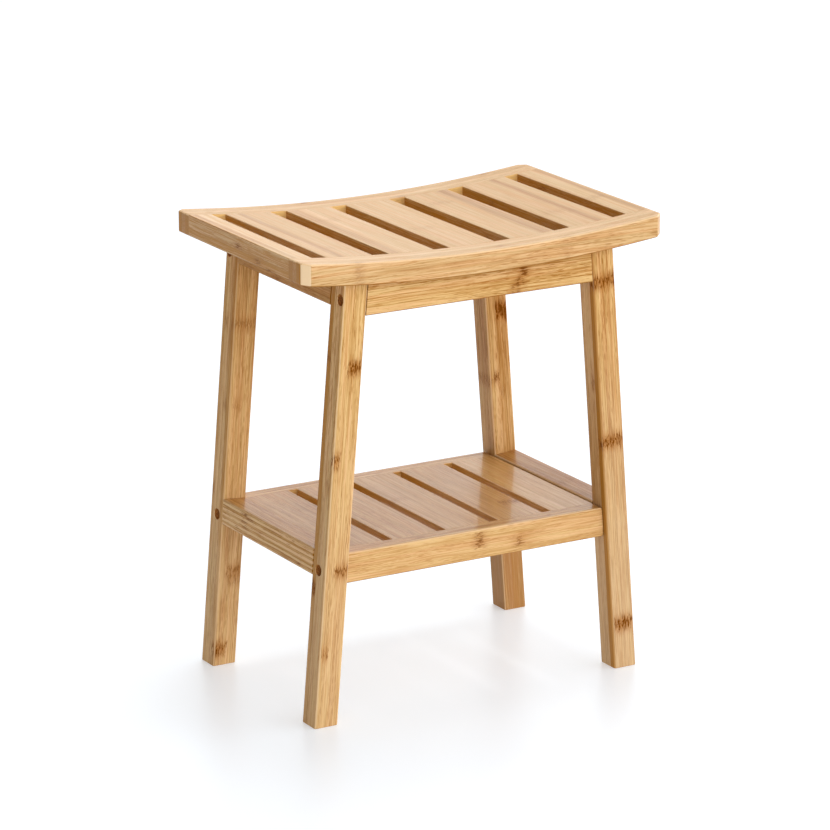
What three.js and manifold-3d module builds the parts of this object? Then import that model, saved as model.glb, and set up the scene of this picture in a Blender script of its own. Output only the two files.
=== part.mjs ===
// Bamboo bath stool with a dished slatted seat and a slatted shelf.
// Millimetres, +Z up, the front faces -Y. The origin is on the floor below the middle of the seat.
import * as THREE from 'three';
import { mergeVertices } from 'three/addons/utils/BufferGeometryUtils.js';
import Module from 'manifold-3d';

const wasm = await Module();
wasm.setup();

// ---- Driving dimensions ----

const GAP = 0.3; // clearance kept between pieces that touch
const OVERCUT = 1; // how far a cutting tool runs past the face it enters by
const CIRCLE_SIDES = 16;
const CURVE_STEPS = 24; // straight steps in the dished seat's curve
const REACH = 600; // longer than the stool in every direction

const SEAT_LENGTH = 401;
const SEAT_DEPTH = 260;
const SEAT_TOP = 465; // top of the seat at its two ends
const SEAT_DIP = 11.6; // how much lower the middle of the seat is
const SEAT_THICKNESS = 21.5;
const SEAT_RAIL_WIDTH = 29.5;
const SEAT_CORNER_CUT = 7.6; // 45 degree cut on the seat's four upright corners
const SEAT_SLAT_COUNT = 5;
const SEAT_SLAT_WIDTH = 50;
const SEAT_SLOT_WIDTH = 17.5;
const SEAT_END_BOARD_WIDTH = 25.5;

const LEG_SIDE = 25.5;
const LEG_EDGE_RADIUS = 2;
const LEG_ARC_STEPS = 3;
const LEG_TOP_ROUNDS = 8; // rounds of the search for the leg's length
const LEG_TILT = THREE.MathUtils.degToRad(4.55);
const FOOT_SPREAD = 369; // outer face to outer face of the legs, at the floor
const FRAME_DEPTH = 234; // front face of the front legs to back face of the back legs

const APRON_THICKNESS = 15;
const APRON_BOTTOM = 403.3;
const TOP_CROSSBAR_HEIGHT = 26.5;
const SHELF_CROSSBAR_TOP = 173.1; // measured along the legs
const SHELF_CROSSBAR_HEIGHT = 26;

const SHELF_TOP = 170;
const SHELF_RAIL_HEIGHT = 30;
const SHELF_RAIL_THICKNESS = 17.2;
const SHELF_SETBACK = 5.1; // the shelf's rails behind the legs' outer faces
const SHELF_SLAT_COUNT = 5;
const SHELF_SLAT_WIDTH = 50.2;
const SHELF_SLAT_THICKNESS = 12;
const SHELF_SLOT_WIDTH = 10;
const SHELF_LENGTH = 288.4; // over the outer edges of the two end slats

const TENON_THICKNESS = 8;
const TENON_SHOULDER = 6; // material left beside a slat's tenon, along the stool
const SLAT_TENON_DEPTH = 9;
const CROSSBAR_TENON = { x: 10, y: 7, z: 16 };
const CROSSBAR_TENON_INSET = 4; // the tenon sits this far inwards of the crossbar's middle

const BOLT_RADIUS = 3;
const BOLT_HEAD_RADIUS = 5;
const BOLT_HEAD_HEIGHT = 4;
const BOLT_SHANK_LENGTH = 30;
const BOLT_SOCKET_RADIUS = 2.3; // across the corners of the hexagon, halved
const BOLT_SOCKET_DEPTH = 2.4;
const BOLT_EDGE_CUT = 0.5;
const COUNTERBORE_RADIUS = 5.5;
const COUNTERBORE_DEPTH = 10;
const TOP_BOLT_HEIGHT = 420.6; // measured along the legs
const TOP_BOLT_INSET = 6.8; // bolt axis to the leg's front or back face
const SHELF_BOLT_HEIGHT = 154.6; // measured along the legs
const SHELF_BOLT_INSET = 13.8;
const INSERT_RADIUS = 4.6;
const INSERT_LENGTH = 14;
const INSERT_POCKET = 17; // depth of the hole that holds an insert and the bolt's end

const SCREW_RADIUS = 2;
const SCREW_HEAD_RADIUS = 4;
const SCREW_HEAD_HEIGHT = 2.6;
const SCREW_LENGTH = 32;
const SCREW_TIP = 5;
const SCREW_POCKET_RADIUS = 4.8;
const SCREW_POCKET_DEPTH = 10;
const SCREW_SPREAD = 60; // screw to the stool's middle, along Y

// ---- Worked out from them ----

const HALF_LENGTH = SEAT_LENGTH / 2;
const HALF_DEPTH = SEAT_DEPTH / 2;
const SEAT_INNER = HALF_DEPTH - SEAT_RAIL_WIDTH;
const HALF_LEG = LEG_SIDE / 2;
const LEG_AXIS_X = FOOT_SPREAD / 2 - HALF_LEG / Math.cos(LEG_TILT); // leg axis at the floor
const LEG_AXIS_Y = FRAME_DEPTH / 2 - HALF_LEG;
const CROSSBAR_END = FRAME_DEPTH / 2 - LEG_SIDE;
const SHELF_RAIL_Y = FRAME_DEPTH / 2 - SHELF_SETBACK - SHELF_RAIL_THICKNESS / 2;
const SHELF_INNER = SHELF_RAIL_Y - SHELF_RAIL_THICKNESS / 2;
const APRON_Y = FRAME_DEPTH / 2 - APRON_THICKNESS / 2;
const LEG_TOP = legTop(); // measured along the leg

const SIDES = [['left', -1], ['right', 1]];
const FACES = [['front', -1], ['back', 1]];

// Height of the seat's dished top at x.
function dishedTop(x) {
  return SEAT_TOP - SEAT_DIP * (1 - (x / HALF_LENGTH) ** 2);
}

// The leg is cut square where its axis meets the seat's underside.
function legTop() {
  let height = SEAT_TOP;
  for (let i = 0; i < LEG_TOP_ROUNDS; i += 1) {
    height = dishedTop(LEG_AXIS_X - height * Math.tan(LEG_TILT)) - SEAT_THICKNESS;
  }
  return height / Math.cos(LEG_TILT) - GAP;
}

// ---- Materials ----

function bamboo(colour) {
  return new THREE.MeshStandardMaterial({ color: colour, roughness: 0.5, metalness: 0 });
}

const seatBamboo = bamboo(0xe3c493);
const frameBamboo = bamboo(0xd9ad6f);
const shelfBamboo = bamboo(0xcda777);
const zincSteel = new THREE.MeshStandardMaterial({ color: 0x8d8c88, roughness: 0.35, metalness: 1 });
const brass = new THREE.MeshStandardMaterial({ color: 0xb08d4f, roughness: 0.4, metalness: 1 });

// ---- Solids ----

// A closed three.js geometry as a manifold solid, for joining and cutting.
function solid(geometry) {
  const bare = geometry.clone();
  bare.deleteAttribute('normal');
  bare.deleteAttribute('uv');
  const merged = mergeVertices(bare);
  return new wasm.Manifold(new wasm.Mesh({
    numProp: 3,
    vertProperties: new Float32Array(merged.attributes.position.array),
    triVerts: new Uint32Array(merged.index.array),
  }));
}

function meshOf(name, body, material) {
  const result = body.getMesh();
  const geometry = new THREE.BufferGeometry();
  geometry.setAttribute('position', new THREE.BufferAttribute(result.vertProperties, 3));
  geometry.setIndex(new THREE.BufferAttribute(result.triVerts, 1));
  geometry.computeVertexNormals();
  const mesh = new THREE.Mesh(geometry, material);
  mesh.name = name;
  return mesh;
}

// A box between two corners.
function block(low, high) {
  const size = high.map((value, axis) => value - low[axis]);
  const geometry = new THREE.BoxGeometry(...size);
  geometry.translate(...low.map((value, axis) => value + size[axis] / 2));
  return geometry;
}

// A shape drawn in X and Z, extruded along Y between two places.
function sideways(shape, fromY, toY, curveSegments) {
  const geometry = new THREE.ExtrudeGeometry(shape, {
    depth: toY - fromY,
    bevelEnabled: false,
    curveSegments,
  });
  geometry.rotateX(Math.PI / 2);
  geometry.translate(0, toY, 0);
  return geometry;
}

// A round bar along X, from one x to another.
function barAlongX(radius, fromX, toX, y, z) {
  const geometry = new THREE.CylinderGeometry(radius, radius, Math.abs(toX - fromX), CIRCLE_SIDES);
  geometry.rotateZ(Math.PI / 2);
  geometry.translate((fromX + toX) / 2, y, z);
  return geometry;
}

function barAlongZ(radius, fromZ, toZ, x, y) {
  const geometry = new THREE.CylinderGeometry(radius, radius, toZ - fromZ, CIRCLE_SIDES);
  geometry.rotateX(Math.PI / 2);
  geometry.translate(x, y, (fromZ + toZ) / 2);
  return geometry;
}

// The place of an end frame: on the floor, leaning inwards.
function endFrameMatrix(side) {
  const lean = new THREE.Matrix4().makeRotationY(-side * LEG_TILT);
  return new THREE.Matrix4().makeTranslation(side * LEG_AXIS_X, 0, 0).multiply(lean);
}

// ---- Seat ----

// The curved slab between two depths below the dished top, over the seat's whole length.
function dishedSlab(fromDepth, toDepth, fromY, toY) {
  const shape = new THREE.Shape();
  shape.moveTo(-HALF_LENGTH, SEAT_TOP - toDepth);
  shape.quadraticCurveTo(0, SEAT_TOP - toDepth - 2 * SEAT_DIP, HALF_LENGTH, SEAT_TOP - toDepth);
  shape.lineTo(HALF_LENGTH, SEAT_TOP - fromDepth);
  shape.quadraticCurveTo(0, SEAT_TOP - fromDepth - 2 * SEAT_DIP, -HALF_LENGTH, SEAT_TOP - fromDepth);
  return solid(sideways(shape, fromY, toY, CURVE_STEPS));
}

function seatPiece(lowX, highX, lowY, highY) {
  const column = solid(block([lowX, lowY, 0], [highX, highY, REACH]));
  return dishedSlab(0, SEAT_THICKNESS, -HALF_DEPTH, HALF_DEPTH).intersect(column);
}

// The tongue that runs through a slat or end board and into both rails.
function seatTongue(lowX, highX, clearance) {
  const depth = (SEAT_THICKNESS - TENON_THICKNESS) / 2 - clearance;
  const reach = SEAT_INNER + SLAT_TENON_DEPTH + clearance;
  const slab = dishedSlab(depth, SEAT_THICKNESS - depth, -reach, reach);
  const column = block([lowX - clearance, -reach, 0], [highX + clearance, reach, REACH]);
  return slab.intersect(solid(column));
}

// Low and high x of the end boards and slats, from left to right.
function seatBoards() {
  const pitch = SEAT_SLAT_WIDTH + SEAT_SLOT_WIDTH;
  const first = -(pitch * (SEAT_SLAT_COUNT - 1) + SEAT_SLAT_WIDTH) / 2;
  const boards = [];
  for (let i = 0; i < SEAT_SLAT_COUNT; i += 1) {
    const low = first + i * pitch;
    boards.push({ name: `seat_slat_${i + 1}`, low, high: low + SEAT_SLAT_WIDTH });
  }
  const inner = HALF_LENGTH - SEAT_END_BOARD_WIDTH;
  boards.unshift({ name: 'seat_end_board_left', low: -HALF_LENGTH, high: -inner });
  boards.push({ name: 'seat_end_board_right', low: inner, high: HALF_LENGTH });
  return boards;
}

function tongueOf(board, clearance) {
  const outer = HALF_LENGTH - TENON_SHOULDER;
  const low = Math.max(board.low + TENON_SHOULDER, -outer);
  const high = Math.min(board.high - TENON_SHOULDER, outer);
  return seatTongue(low, high, clearance);
}

function seatRail(face) {
  const outer = new THREE.Shape();
  const cutX = HALF_LENGTH - SEAT_CORNER_CUT;
  const cutY = HALF_DEPTH - SEAT_CORNER_CUT;
  outer.moveTo(-HALF_LENGTH, SEAT_INNER);
  outer.lineTo(HALF_LENGTH, SEAT_INNER);
  outer.lineTo(HALF_LENGTH, cutY);
  outer.lineTo(cutX, HALF_DEPTH);
  outer.lineTo(-cutX, HALF_DEPTH);
  outer.lineTo(-HALF_LENGTH, cutY);
  const column = new THREE.ExtrudeGeometry(outer, { depth: REACH, bevelEnabled: false });
  if (face < 0) {
    column.rotateZ(Math.PI);
  }
  let rail = dishedSlab(0, SEAT_THICKNESS, -HALF_DEPTH, HALF_DEPTH).intersect(solid(column));
  for (const board of seatBoards()) {
    rail = rail.subtract(tongueOf(board, GAP));
  }
  return rail;
}

// An end board or slat, with the pilot holes of the screws that reach it.
function seatBoard(board) {
  const low = -SEAT_INNER + GAP;
  const high = SEAT_INNER - GAP;
  let body = seatPiece(board.low, board.high, low, high).add(tongueOf(board, 0));
  for (const [, side] of SIDES) {
    for (const [, face] of FACES) {
      const pilot = barAlongZ(SCREW_RADIUS + GAP, 0, screwEnd() + GAP, 0, face * SCREW_SPREAD);
      pilot.applyMatrix4(endFrameMatrix(side));
      body = body.subtract(solid(pilot));
    }
  }
  return body;
}

function seat() {
  const group = new THREE.Group();
  for (const [name, face] of FACES) {
    group.add(meshOf(`seat_${name}_rail`, seatRail(face), seatBamboo));
  }
  for (const board of seatBoards()) {
    group.add(meshOf(board.name, seatBoard(board), seatBamboo));
  }
  return group;
}

// ---- End frames: built upright around the legs' axes, then leaned inwards ----

// A square bar with rounded edges along Z.
function roundedBar(fromZ, toZ, y) {
  const h = HALF_LEG;
  const s = HALF_LEG - LEG_EDGE_RADIUS;
  const section = new THREE.Shape();
  section.moveTo(s, -h);
  section.absarc(s, -s, LEG_EDGE_RADIUS, -Math.PI / 2, 0);
  section.absarc(s, s, LEG_EDGE_RADIUS, 0, Math.PI / 2);
  section.absarc(-s, s, LEG_EDGE_RADIUS, Math.PI / 2, Math.PI);
  section.absarc(-s, -s, LEG_EDGE_RADIUS, Math.PI, 1.5 * Math.PI);
  const geometry = new THREE.ExtrudeGeometry(section, {
    depth: toZ - fromZ,
    bevelEnabled: false,
    curveSegments: LEG_ARC_STEPS,
  });
  geometry.translate(0, y, fromZ);
  return solid(geometry);
}

// Where the bolts of one leg are, in the end frame.
function boltPlaces(face) {
  const outerY = face * (FRAME_DEPTH / 2);
  return [
    { name: 'top', y: outerY - face * TOP_BOLT_INSET, z: TOP_BOLT_HEIGHT },
    { name: 'shelf', y: outerY - face * SHELF_BOLT_INSET, z: SHELF_BOLT_HEIGHT },
  ];
}

// The stepped hole for one bolt, right through the leg.
function boltHole(side, place) {
  const mouthStart = side * (HALF_LEG + OVERCUT);
  const mouthEnd = side * (HALF_LEG - COUNTERBORE_DEPTH);
  const mouth = barAlongX(COUNTERBORE_RADIUS, mouthStart, mouthEnd, place.y, place.z);
  const shank = barAlongX(BOLT_RADIUS + GAP, mouthStart, -mouthStart, place.y, place.z);
  return solid(mouth).add(solid(shank));
}

// The tenon at one end of a crossbar, or with a clearance the mortise that it fits.
function crossbarTenon(side, face, middleZ, clearance) {
  const x = -side * CROSSBAR_TENON_INSET;
  const halfX = CROSSBAR_TENON.x / 2 + clearance;
  const halfZ = CROSSBAR_TENON.z / 2 + clearance;
  const near = face * (CROSSBAR_END - HALF_LEG);
  const far = face * (CROSSBAR_END + CROSSBAR_TENON.y + clearance);
  const low = [x - halfX, Math.min(near, far), middleZ - halfZ];
  const high = [x + halfX, Math.max(near, far), middleZ + halfZ];
  return solid(block(low, high));
}

const CROSSBARS = [
  { name: 'top_crossbar', low: LEG_TOP - TOP_CROSSBAR_HEIGHT, high: LEG_TOP },
  { name: 'shelf_crossbar', low: SHELF_CROSSBAR_TOP - SHELF_CROSSBAR_HEIGHT, high: SHELF_CROSSBAR_TOP },
];

function leg(side, face) {
  let body = roundedBar(-LEG_SIDE, LEG_TOP, face * LEG_AXIS_Y);
  const floor = block([-REACH, -REACH, -REACH], [REACH, REACH, 0]);
  floor.applyMatrix4(endFrameMatrix(side).invert());
  body = body.subtract(solid(floor));
  for (const place of boltPlaces(face)) {
    body = body.subtract(boltHole(side, place));
  }
  for (const bar of CROSSBARS) {
    body = body.subtract(crossbarTenon(side, face, (bar.low + bar.high) / 2, GAP));
  }
  return body;
}

function crossbar(side, bar) {
  const end = CROSSBAR_END - GAP;
  let body = solid(block([-HALF_LEG, -end, bar.low], [HALF_LEG, end, bar.high]));
  for (const [, face] of FACES) {
    body = body.add(crossbarTenon(side, face, (bar.low + bar.high) / 2, 0));
    if (bar.name === 'top_crossbar') {
      body = body.subtract(screwHole(bar, face * SCREW_SPREAD));
    }
  }
  return body;
}

// A turned piece around X, its outline given as [distance inwards, radius] from its outer end.
function turnedAlongX(outline, side, startX, y, z) {
  const points = outline.map(([along, radius]) => new THREE.Vector2(radius, along));
  const geometry = new THREE.LatheGeometry(points, CIRCLE_SIDES);
  geometry.rotateZ(side * (Math.PI / 2));
  geometry.translate(startX, y, z);
  return solid(geometry);
}

function bolt(side, place) {
  const start = side * (HALF_LEG - COUNTERBORE_DEPTH + BOLT_HEAD_HEIGHT + GAP);
  const end = BOLT_HEAD_HEIGHT + BOLT_SHANK_LENGTH;
  const outline = [
    [0, 0],
    [0, BOLT_HEAD_RADIUS - BOLT_EDGE_CUT],
    [BOLT_EDGE_CUT, BOLT_HEAD_RADIUS],
    [BOLT_HEAD_HEIGHT, BOLT_HEAD_RADIUS],
    [BOLT_HEAD_HEIGHT, BOLT_RADIUS],
    [end - BOLT_EDGE_CUT, BOLT_RADIUS],
    [end, BOLT_RADIUS - BOLT_EDGE_CUT],
    [end, 0],
  ];
  const socketDepth = 2 * BOLT_SOCKET_DEPTH; // half of it stands out of the head
  const socket = new THREE.CylinderGeometry(BOLT_SOCKET_RADIUS, BOLT_SOCKET_RADIUS, socketDepth, 6);
  socket.rotateZ(Math.PI / 2);
  socket.translate(start, place.y, place.z);
  return turnedAlongX(outline, side, start, place.y, place.z).subtract(solid(socket));
}

function threadedInsert(side, place) {
  const start = -side * (HALF_LEG + 2 * GAP);
  const bore = BOLT_RADIUS + GAP;
  const outline = [
    [0, bore],
    [0, INSERT_RADIUS],
    [INSERT_LENGTH, INSERT_RADIUS],
    [INSERT_LENGTH, bore],
    [0, bore],
  ];
  return turnedAlongX(outline, side, start, place.y, place.z);
}

// The hole in an apron's or a shelf rail's end, in the stool's own frame.
function insertPocket(side, place) {
  const start = -side * (HALF_LEG - OVERCUT);
  const end = -side * (HALF_LEG + INSERT_POCKET);
  const pocket = barAlongX(INSERT_RADIUS + GAP, start, end, place.y, place.z);
  pocket.applyMatrix4(endFrameMatrix(side));
  return solid(pocket);
}

function screwStart() {
  return LEG_TOP - TOP_CROSSBAR_HEIGHT + SCREW_POCKET_DEPTH - SCREW_HEAD_HEIGHT - GAP;
}

function screwEnd() {
  return screwStart() + SCREW_LENGTH;
}

function screwHole(bar, y) {
  const pocketTop = bar.low + SCREW_POCKET_DEPTH;
  const pocket = barAlongZ(SCREW_POCKET_RADIUS, bar.low - OVERCUT, pocketTop, 0, y);
  const shank = barAlongZ(SCREW_RADIUS + GAP, bar.low, bar.high + OVERCUT, 0, y);
  return solid(pocket).add(solid(shank));
}

function screw(y) {
  const outline = [
    [0, 0],
    [SCREW_HEAD_RADIUS, 0],
    [SCREW_HEAD_RADIUS, SCREW_HEAD_HEIGHT],
    [SCREW_RADIUS, SCREW_HEAD_HEIGHT],
    [SCREW_RADIUS, SCREW_LENGTH - SCREW_TIP],
    [0, SCREW_LENGTH],
  ];
  const points = outline.map(([radius, along]) => new THREE.Vector2(radius, along));
  const geometry = new THREE.LatheGeometry(points, CIRCLE_SIDES);
  geometry.rotateX(Math.PI / 2);
  geometry.translate(0, y, screwStart());
  return solid(geometry);
}

function endFrame(sideName, side) {
  const group = new THREE.Group();
  endFrameMatrix(side).decompose(group.position, group.quaternion, group.scale);
  for (const bar of CROSSBARS) {
    group.add(meshOf(`${sideName}_${bar.name}`, crossbar(side, bar), frameBamboo));
  }
  for (const [faceName, face] of FACES) {
    const corner = `${faceName}_${sideName}`;
    group.add(meshOf(`leg_${corner}`, leg(side, face), frameBamboo));
    for (const place of boltPlaces(face)) {
      group.add(meshOf(`${place.name}_bolt_${corner}`, bolt(side, place), zincSteel));
      group.add(meshOf(`${place.name}_insert_${corner}`, threadedInsert(side, place), brass));
    }
    group.add(meshOf(`seat_screw_${corner}`, screw(face * SCREW_SPREAD), zincSteel));
  }
  return group;
}

// ---- Aprons and shelf: between the end frames ----

// Everything between the legs' leaning inner faces.
function betweenLegs() {
  const atFloor = FOOT_SPREAD / 2 - LEG_SIDE / Math.cos(LEG_TILT) - GAP;
  const halfAt = (z) => atFloor - z * Math.tan(LEG_TILT);
  const shape = new THREE.Shape();
  shape.moveTo(-halfAt(0), 0);
  shape.lineTo(halfAt(0), 0);
  shape.lineTo(halfAt(SEAT_TOP), SEAT_TOP);
  shape.lineTo(-halfAt(SEAT_TOP), SEAT_TOP);
  return solid(sideways(shape, -HALF_DEPTH, HALF_DEPTH, 1));
}

function withInsertPockets(body, face, placeName) {
  let result = body;
  for (const [, side] of SIDES) {
    const place = boltPlaces(face).find((entry) => entry.name === placeName);
    result = result.subtract(insertPocket(side, place));
  }
  return result;
}

function apron(face) {
  const y = face * APRON_Y;
  const half = APRON_THICKNESS / 2;
  const board = solid(block([-REACH, y - half, APRON_BOTTOM], [REACH, y + half, SEAT_TOP]));
  const underSeat = dishedSlab(SEAT_THICKNESS + GAP, REACH, -HALF_DEPTH, HALF_DEPTH);
  const body = board.intersect(underSeat).intersect(betweenLegs());
  return withInsertPockets(body, face, 'top');
}

// Low and high x of the shelf's slats, from left to right: the end ones stop at the crossbars.
function shelfSlats() {
  const pitch = SHELF_SLAT_WIDTH + SHELF_SLOT_WIDTH;
  const slats = [];
  for (let i = 0; i < SHELF_SLAT_COUNT; i += 1) {
    const middle = (i - (SHELF_SLAT_COUNT - 1) / 2) * pitch;
    const low = Math.max(middle - SHELF_SLAT_WIDTH / 2, -SHELF_LENGTH / 2);
    const high = Math.min(middle + SHELF_SLAT_WIDTH / 2, SHELF_LENGTH / 2);
    slats.push({ low, high });
  }
  return slats;
}

// The tenons of one shelf slat, as one tongue through it into both rails.
function shelfTongue(slat, clearance) {
  const reach = SHELF_INNER + SLAT_TENON_DEPTH + clearance;
  const middle = SHELF_TOP - SHELF_SLAT_THICKNESS / 2;
  const half = TENON_THICKNESS / 2 + clearance;
  const low = [slat.low + TENON_SHOULDER - clearance, -reach, middle - half];
  const high = [slat.high - TENON_SHOULDER + clearance, reach, middle + half];
  return solid(block(low, high));
}

function shelfSlat(slat) {
  const end = SHELF_INNER - GAP;
  const low = [slat.low, -end, SHELF_TOP - SHELF_SLAT_THICKNESS];
  return solid(block(low, [slat.high, end, SHELF_TOP])).add(shelfTongue(slat, 0));
}

function shelfRail(face) {
  const y = face * SHELF_RAIL_Y;
  const half = SHELF_RAIL_THICKNESS / 2;
  const low = [-REACH, y - half, SHELF_TOP - SHELF_RAIL_HEIGHT];
  let body = solid(block(low, [REACH, y + half, SHELF_TOP])).intersect(betweenLegs());
  for (const slat of shelfSlats()) {
    body = body.subtract(shelfTongue(slat, GAP));
  }
  return withInsertPockets(body, face, 'shelf');
}

function shelf() {
  const group = new THREE.Group();
  for (const [name, face] of FACES) {
    group.add(meshOf(`shelf_${name}_rail`, shelfRail(face), shelfBamboo));
  }
  shelfSlats().forEach((slat, i) => {
    group.add(meshOf(`shelf_slat_${i + 1}`, shelfSlat(slat), shelfBamboo));
  });
  return group;
}

// ---- The stool ----

const stool = new THREE.Group();
stool.add(seat());
for (const [name, side] of SIDES) {
  stool.add(endFrame(name, side));
}
for (const [name, face] of FACES) {
  stool.add(meshOf(`${name}_apron`, apron(face), frameBamboo));
}
stool.add(shelf());

export default stool;
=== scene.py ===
import math

import bmesh
import bpy
from mathutils import Matrix, Vector


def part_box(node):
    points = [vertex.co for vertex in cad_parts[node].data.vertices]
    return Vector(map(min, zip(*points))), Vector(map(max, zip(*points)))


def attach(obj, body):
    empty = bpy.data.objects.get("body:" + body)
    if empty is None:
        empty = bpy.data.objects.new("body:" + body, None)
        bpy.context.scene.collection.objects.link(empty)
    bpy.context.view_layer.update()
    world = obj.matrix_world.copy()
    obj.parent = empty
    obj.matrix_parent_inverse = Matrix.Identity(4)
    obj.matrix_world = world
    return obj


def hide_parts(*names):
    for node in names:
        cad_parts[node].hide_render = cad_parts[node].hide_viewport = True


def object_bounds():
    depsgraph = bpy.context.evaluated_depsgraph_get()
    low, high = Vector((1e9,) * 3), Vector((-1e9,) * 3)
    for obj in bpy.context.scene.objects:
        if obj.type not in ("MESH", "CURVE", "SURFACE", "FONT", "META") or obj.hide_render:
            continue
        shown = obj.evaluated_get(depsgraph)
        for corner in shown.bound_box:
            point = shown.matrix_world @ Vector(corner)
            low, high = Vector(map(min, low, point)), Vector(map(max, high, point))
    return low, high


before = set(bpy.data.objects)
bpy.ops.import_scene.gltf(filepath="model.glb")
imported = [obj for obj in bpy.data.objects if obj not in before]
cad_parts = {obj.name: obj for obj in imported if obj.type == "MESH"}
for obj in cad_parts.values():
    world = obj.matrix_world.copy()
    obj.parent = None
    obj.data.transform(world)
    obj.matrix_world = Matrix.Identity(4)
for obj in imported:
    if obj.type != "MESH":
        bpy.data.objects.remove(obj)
cad_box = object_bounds()

MM = 0.001
SIDES = (("left", -1), ("right", 1))
FACES = (("front", -1), ("back", 1))
LEVELS = ("top", "shelf")
X, Y, Z = Vector((1, 0, 0)), Vector((0, 1, 0)), Vector((0, 0, 1))

# ---- Sizes, from the frame where it holds them ----

LEG_SIDE = 25.5 * MM
LEG_TILT = math.radians(4.55)
LEG_ROUNDING = 2.2 * MM
FOOT_ROUNDING = 0.8 * MM
FOOT_HEIGHT = 2 * MM  # edges below this are a foot's
SEAT_THICKNESS = 21.5 * MM
SEAT_ROUNDING = 1.7 * MM
SEAT_CORNER_CUT = 7.6 * MM
SLOT_ROUNDING = 0.9 * MM
JOINT_ROUNDING = 0.25 * MM
RAIL_ROUNDING = 1.6 * MM
SHELF_END_ROUNDING = 2.6 * MM
SEAM = 0.05 * MM  # left between glued boards
NEARLY = 0.1 * MM  # places closer than this are the same
WELD = 1e-7
SHARP_ANGLE = math.radians(40)
# The painted highlight on arrises starts and grows whole between these.
ARRIS_STARTS, ARRIS_WHOLE = 0.98, 0.72  # largest part of a normal where an arris starts and is palest
SIDE_STARTS, SIDE_WHOLE = 0.8, 0.95  # part of a normal along an axis where a face looks that way
ROUND_STEPS, LEG_STEPS, FINE_STEPS = 3, 4, 2
DISH_STEPS = 48
APRON_STEPS = 24
CIRCLE_SIDES = 48
SCREW_SIDES = 32

BOLT_RADIUS = 3 * MM
BOLT_HEAD_RADIUS = 5 * MM
BOLT_HEAD_HEIGHT = 4 * MM
BOLT_LENGTH = 34 * MM
BOLT_EASE = 0.5 * MM
BOLT_CROWN, BOLT_CROWN_WIDTH = 0.12 * MM, 1.1 * MM
BOLT_SOCKET_RADIUS = 2.3 * MM
BOLT_SOCKET_DEPTH = 2.4 * MM
COUNTERBORE_RADIUS = 5.5 * MM
COUNTERBORE_DEPTH = 10 * MM
COUNTERBORE_EASE = 0.45 * MM
BOLT_PLAY = 0.3 * MM
CUTTER_EXCESS = 1 * MM  # how far a cutter stands out of what it cuts

SCREW_HEAD_HEIGHT = 2.6 * MM
SCREW_HEAD_RADIUS = 4 * MM
SCREW_HEAD_EASE_RADIUS, SCREW_HEAD_EASE_HEIGHT = 0.3 * MM, 0.4 * MM
SCREW_SHANK_RADIUS = 1.7 * MM
SCREW_ROOT_RADIUS = 1.35 * MM
SCREW_THREAD_RADIUS = 2 * MM
SCREW_PITCH = 1.8 * MM
SCREW_THREAD = (  # part of the pitch, radius
    (0, SCREW_ROOT_RADIUS), (0.4, SCREW_ROOT_RADIUS), (0.55, SCREW_THREAD_RADIUS), (0.7, SCREW_ROOT_RADIUS),
)
SCREW_THREAD_STARTS = 9 * MM
SCREW_TIP = 5 * MM
SCREW_RECESS_ARM = 2.3 * MM
SCREW_RECESS_HALF_WIDTH = 0.5 * MM
SCREW_RECESS_DEPTH = 1.4 * MM
POCKET_RADIUS = 4.8 * MM
POCKET_EASE = 0.4 * MM
POCKET_EXCESS = 0.8 * MM
POCKET_PLAY = 0.2 * MM

HALF_LEG = LEG_SIDE / 2
HALF_LENGTH = cad_box[1].x
SEAT_TOP = cad_box[1].z
SEAT_LOW, SEAT_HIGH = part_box("seat_front_rail")
SEAT_DIP = SEAT_HIGH.z - SEAT_LOW.z - SEAT_THICKNESS
SEAT_INNER = -SEAT_HIGH.y
SEAT_HALF_DEPTH = -SEAT_LOW.y
LEG_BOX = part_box("leg_front_right")
LEG_AXIS_X = LEG_BOX[1].x - HALF_LEG / math.cos(LEG_TILT)
LEG_AXIS_Y = -(LEG_BOX[0].y + LEG_BOX[1].y) / 2


def end_frame(side):
    """The place of an end frame: on the floor, leaning inwards."""
    lean = Matrix.Rotation(-side * LEG_TILT, 4, "Y")
    return Matrix.Translation((side * LEG_AXIS_X, 0, 0)) @ lean


def along_leg(node, side):
    """Lowest corner, middle and highest corner of a CAD node, measured in its end frame."""
    back = end_frame(side).inverted()
    points = [back @ v.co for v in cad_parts[node].data.vertices]
    low = Vector(min(p[i] for p in points) for i in range(3))
    high = Vector(max(p[i] for p in points) for i in range(3))
    return low, (low + high) / 2, high


def dished(x):
    """How far the seat's surface lies below its ends at x."""
    return SEAT_DIP * (1 - (x / HALF_LENGTH) ** 2)


# ---- Shader nodes ----


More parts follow.
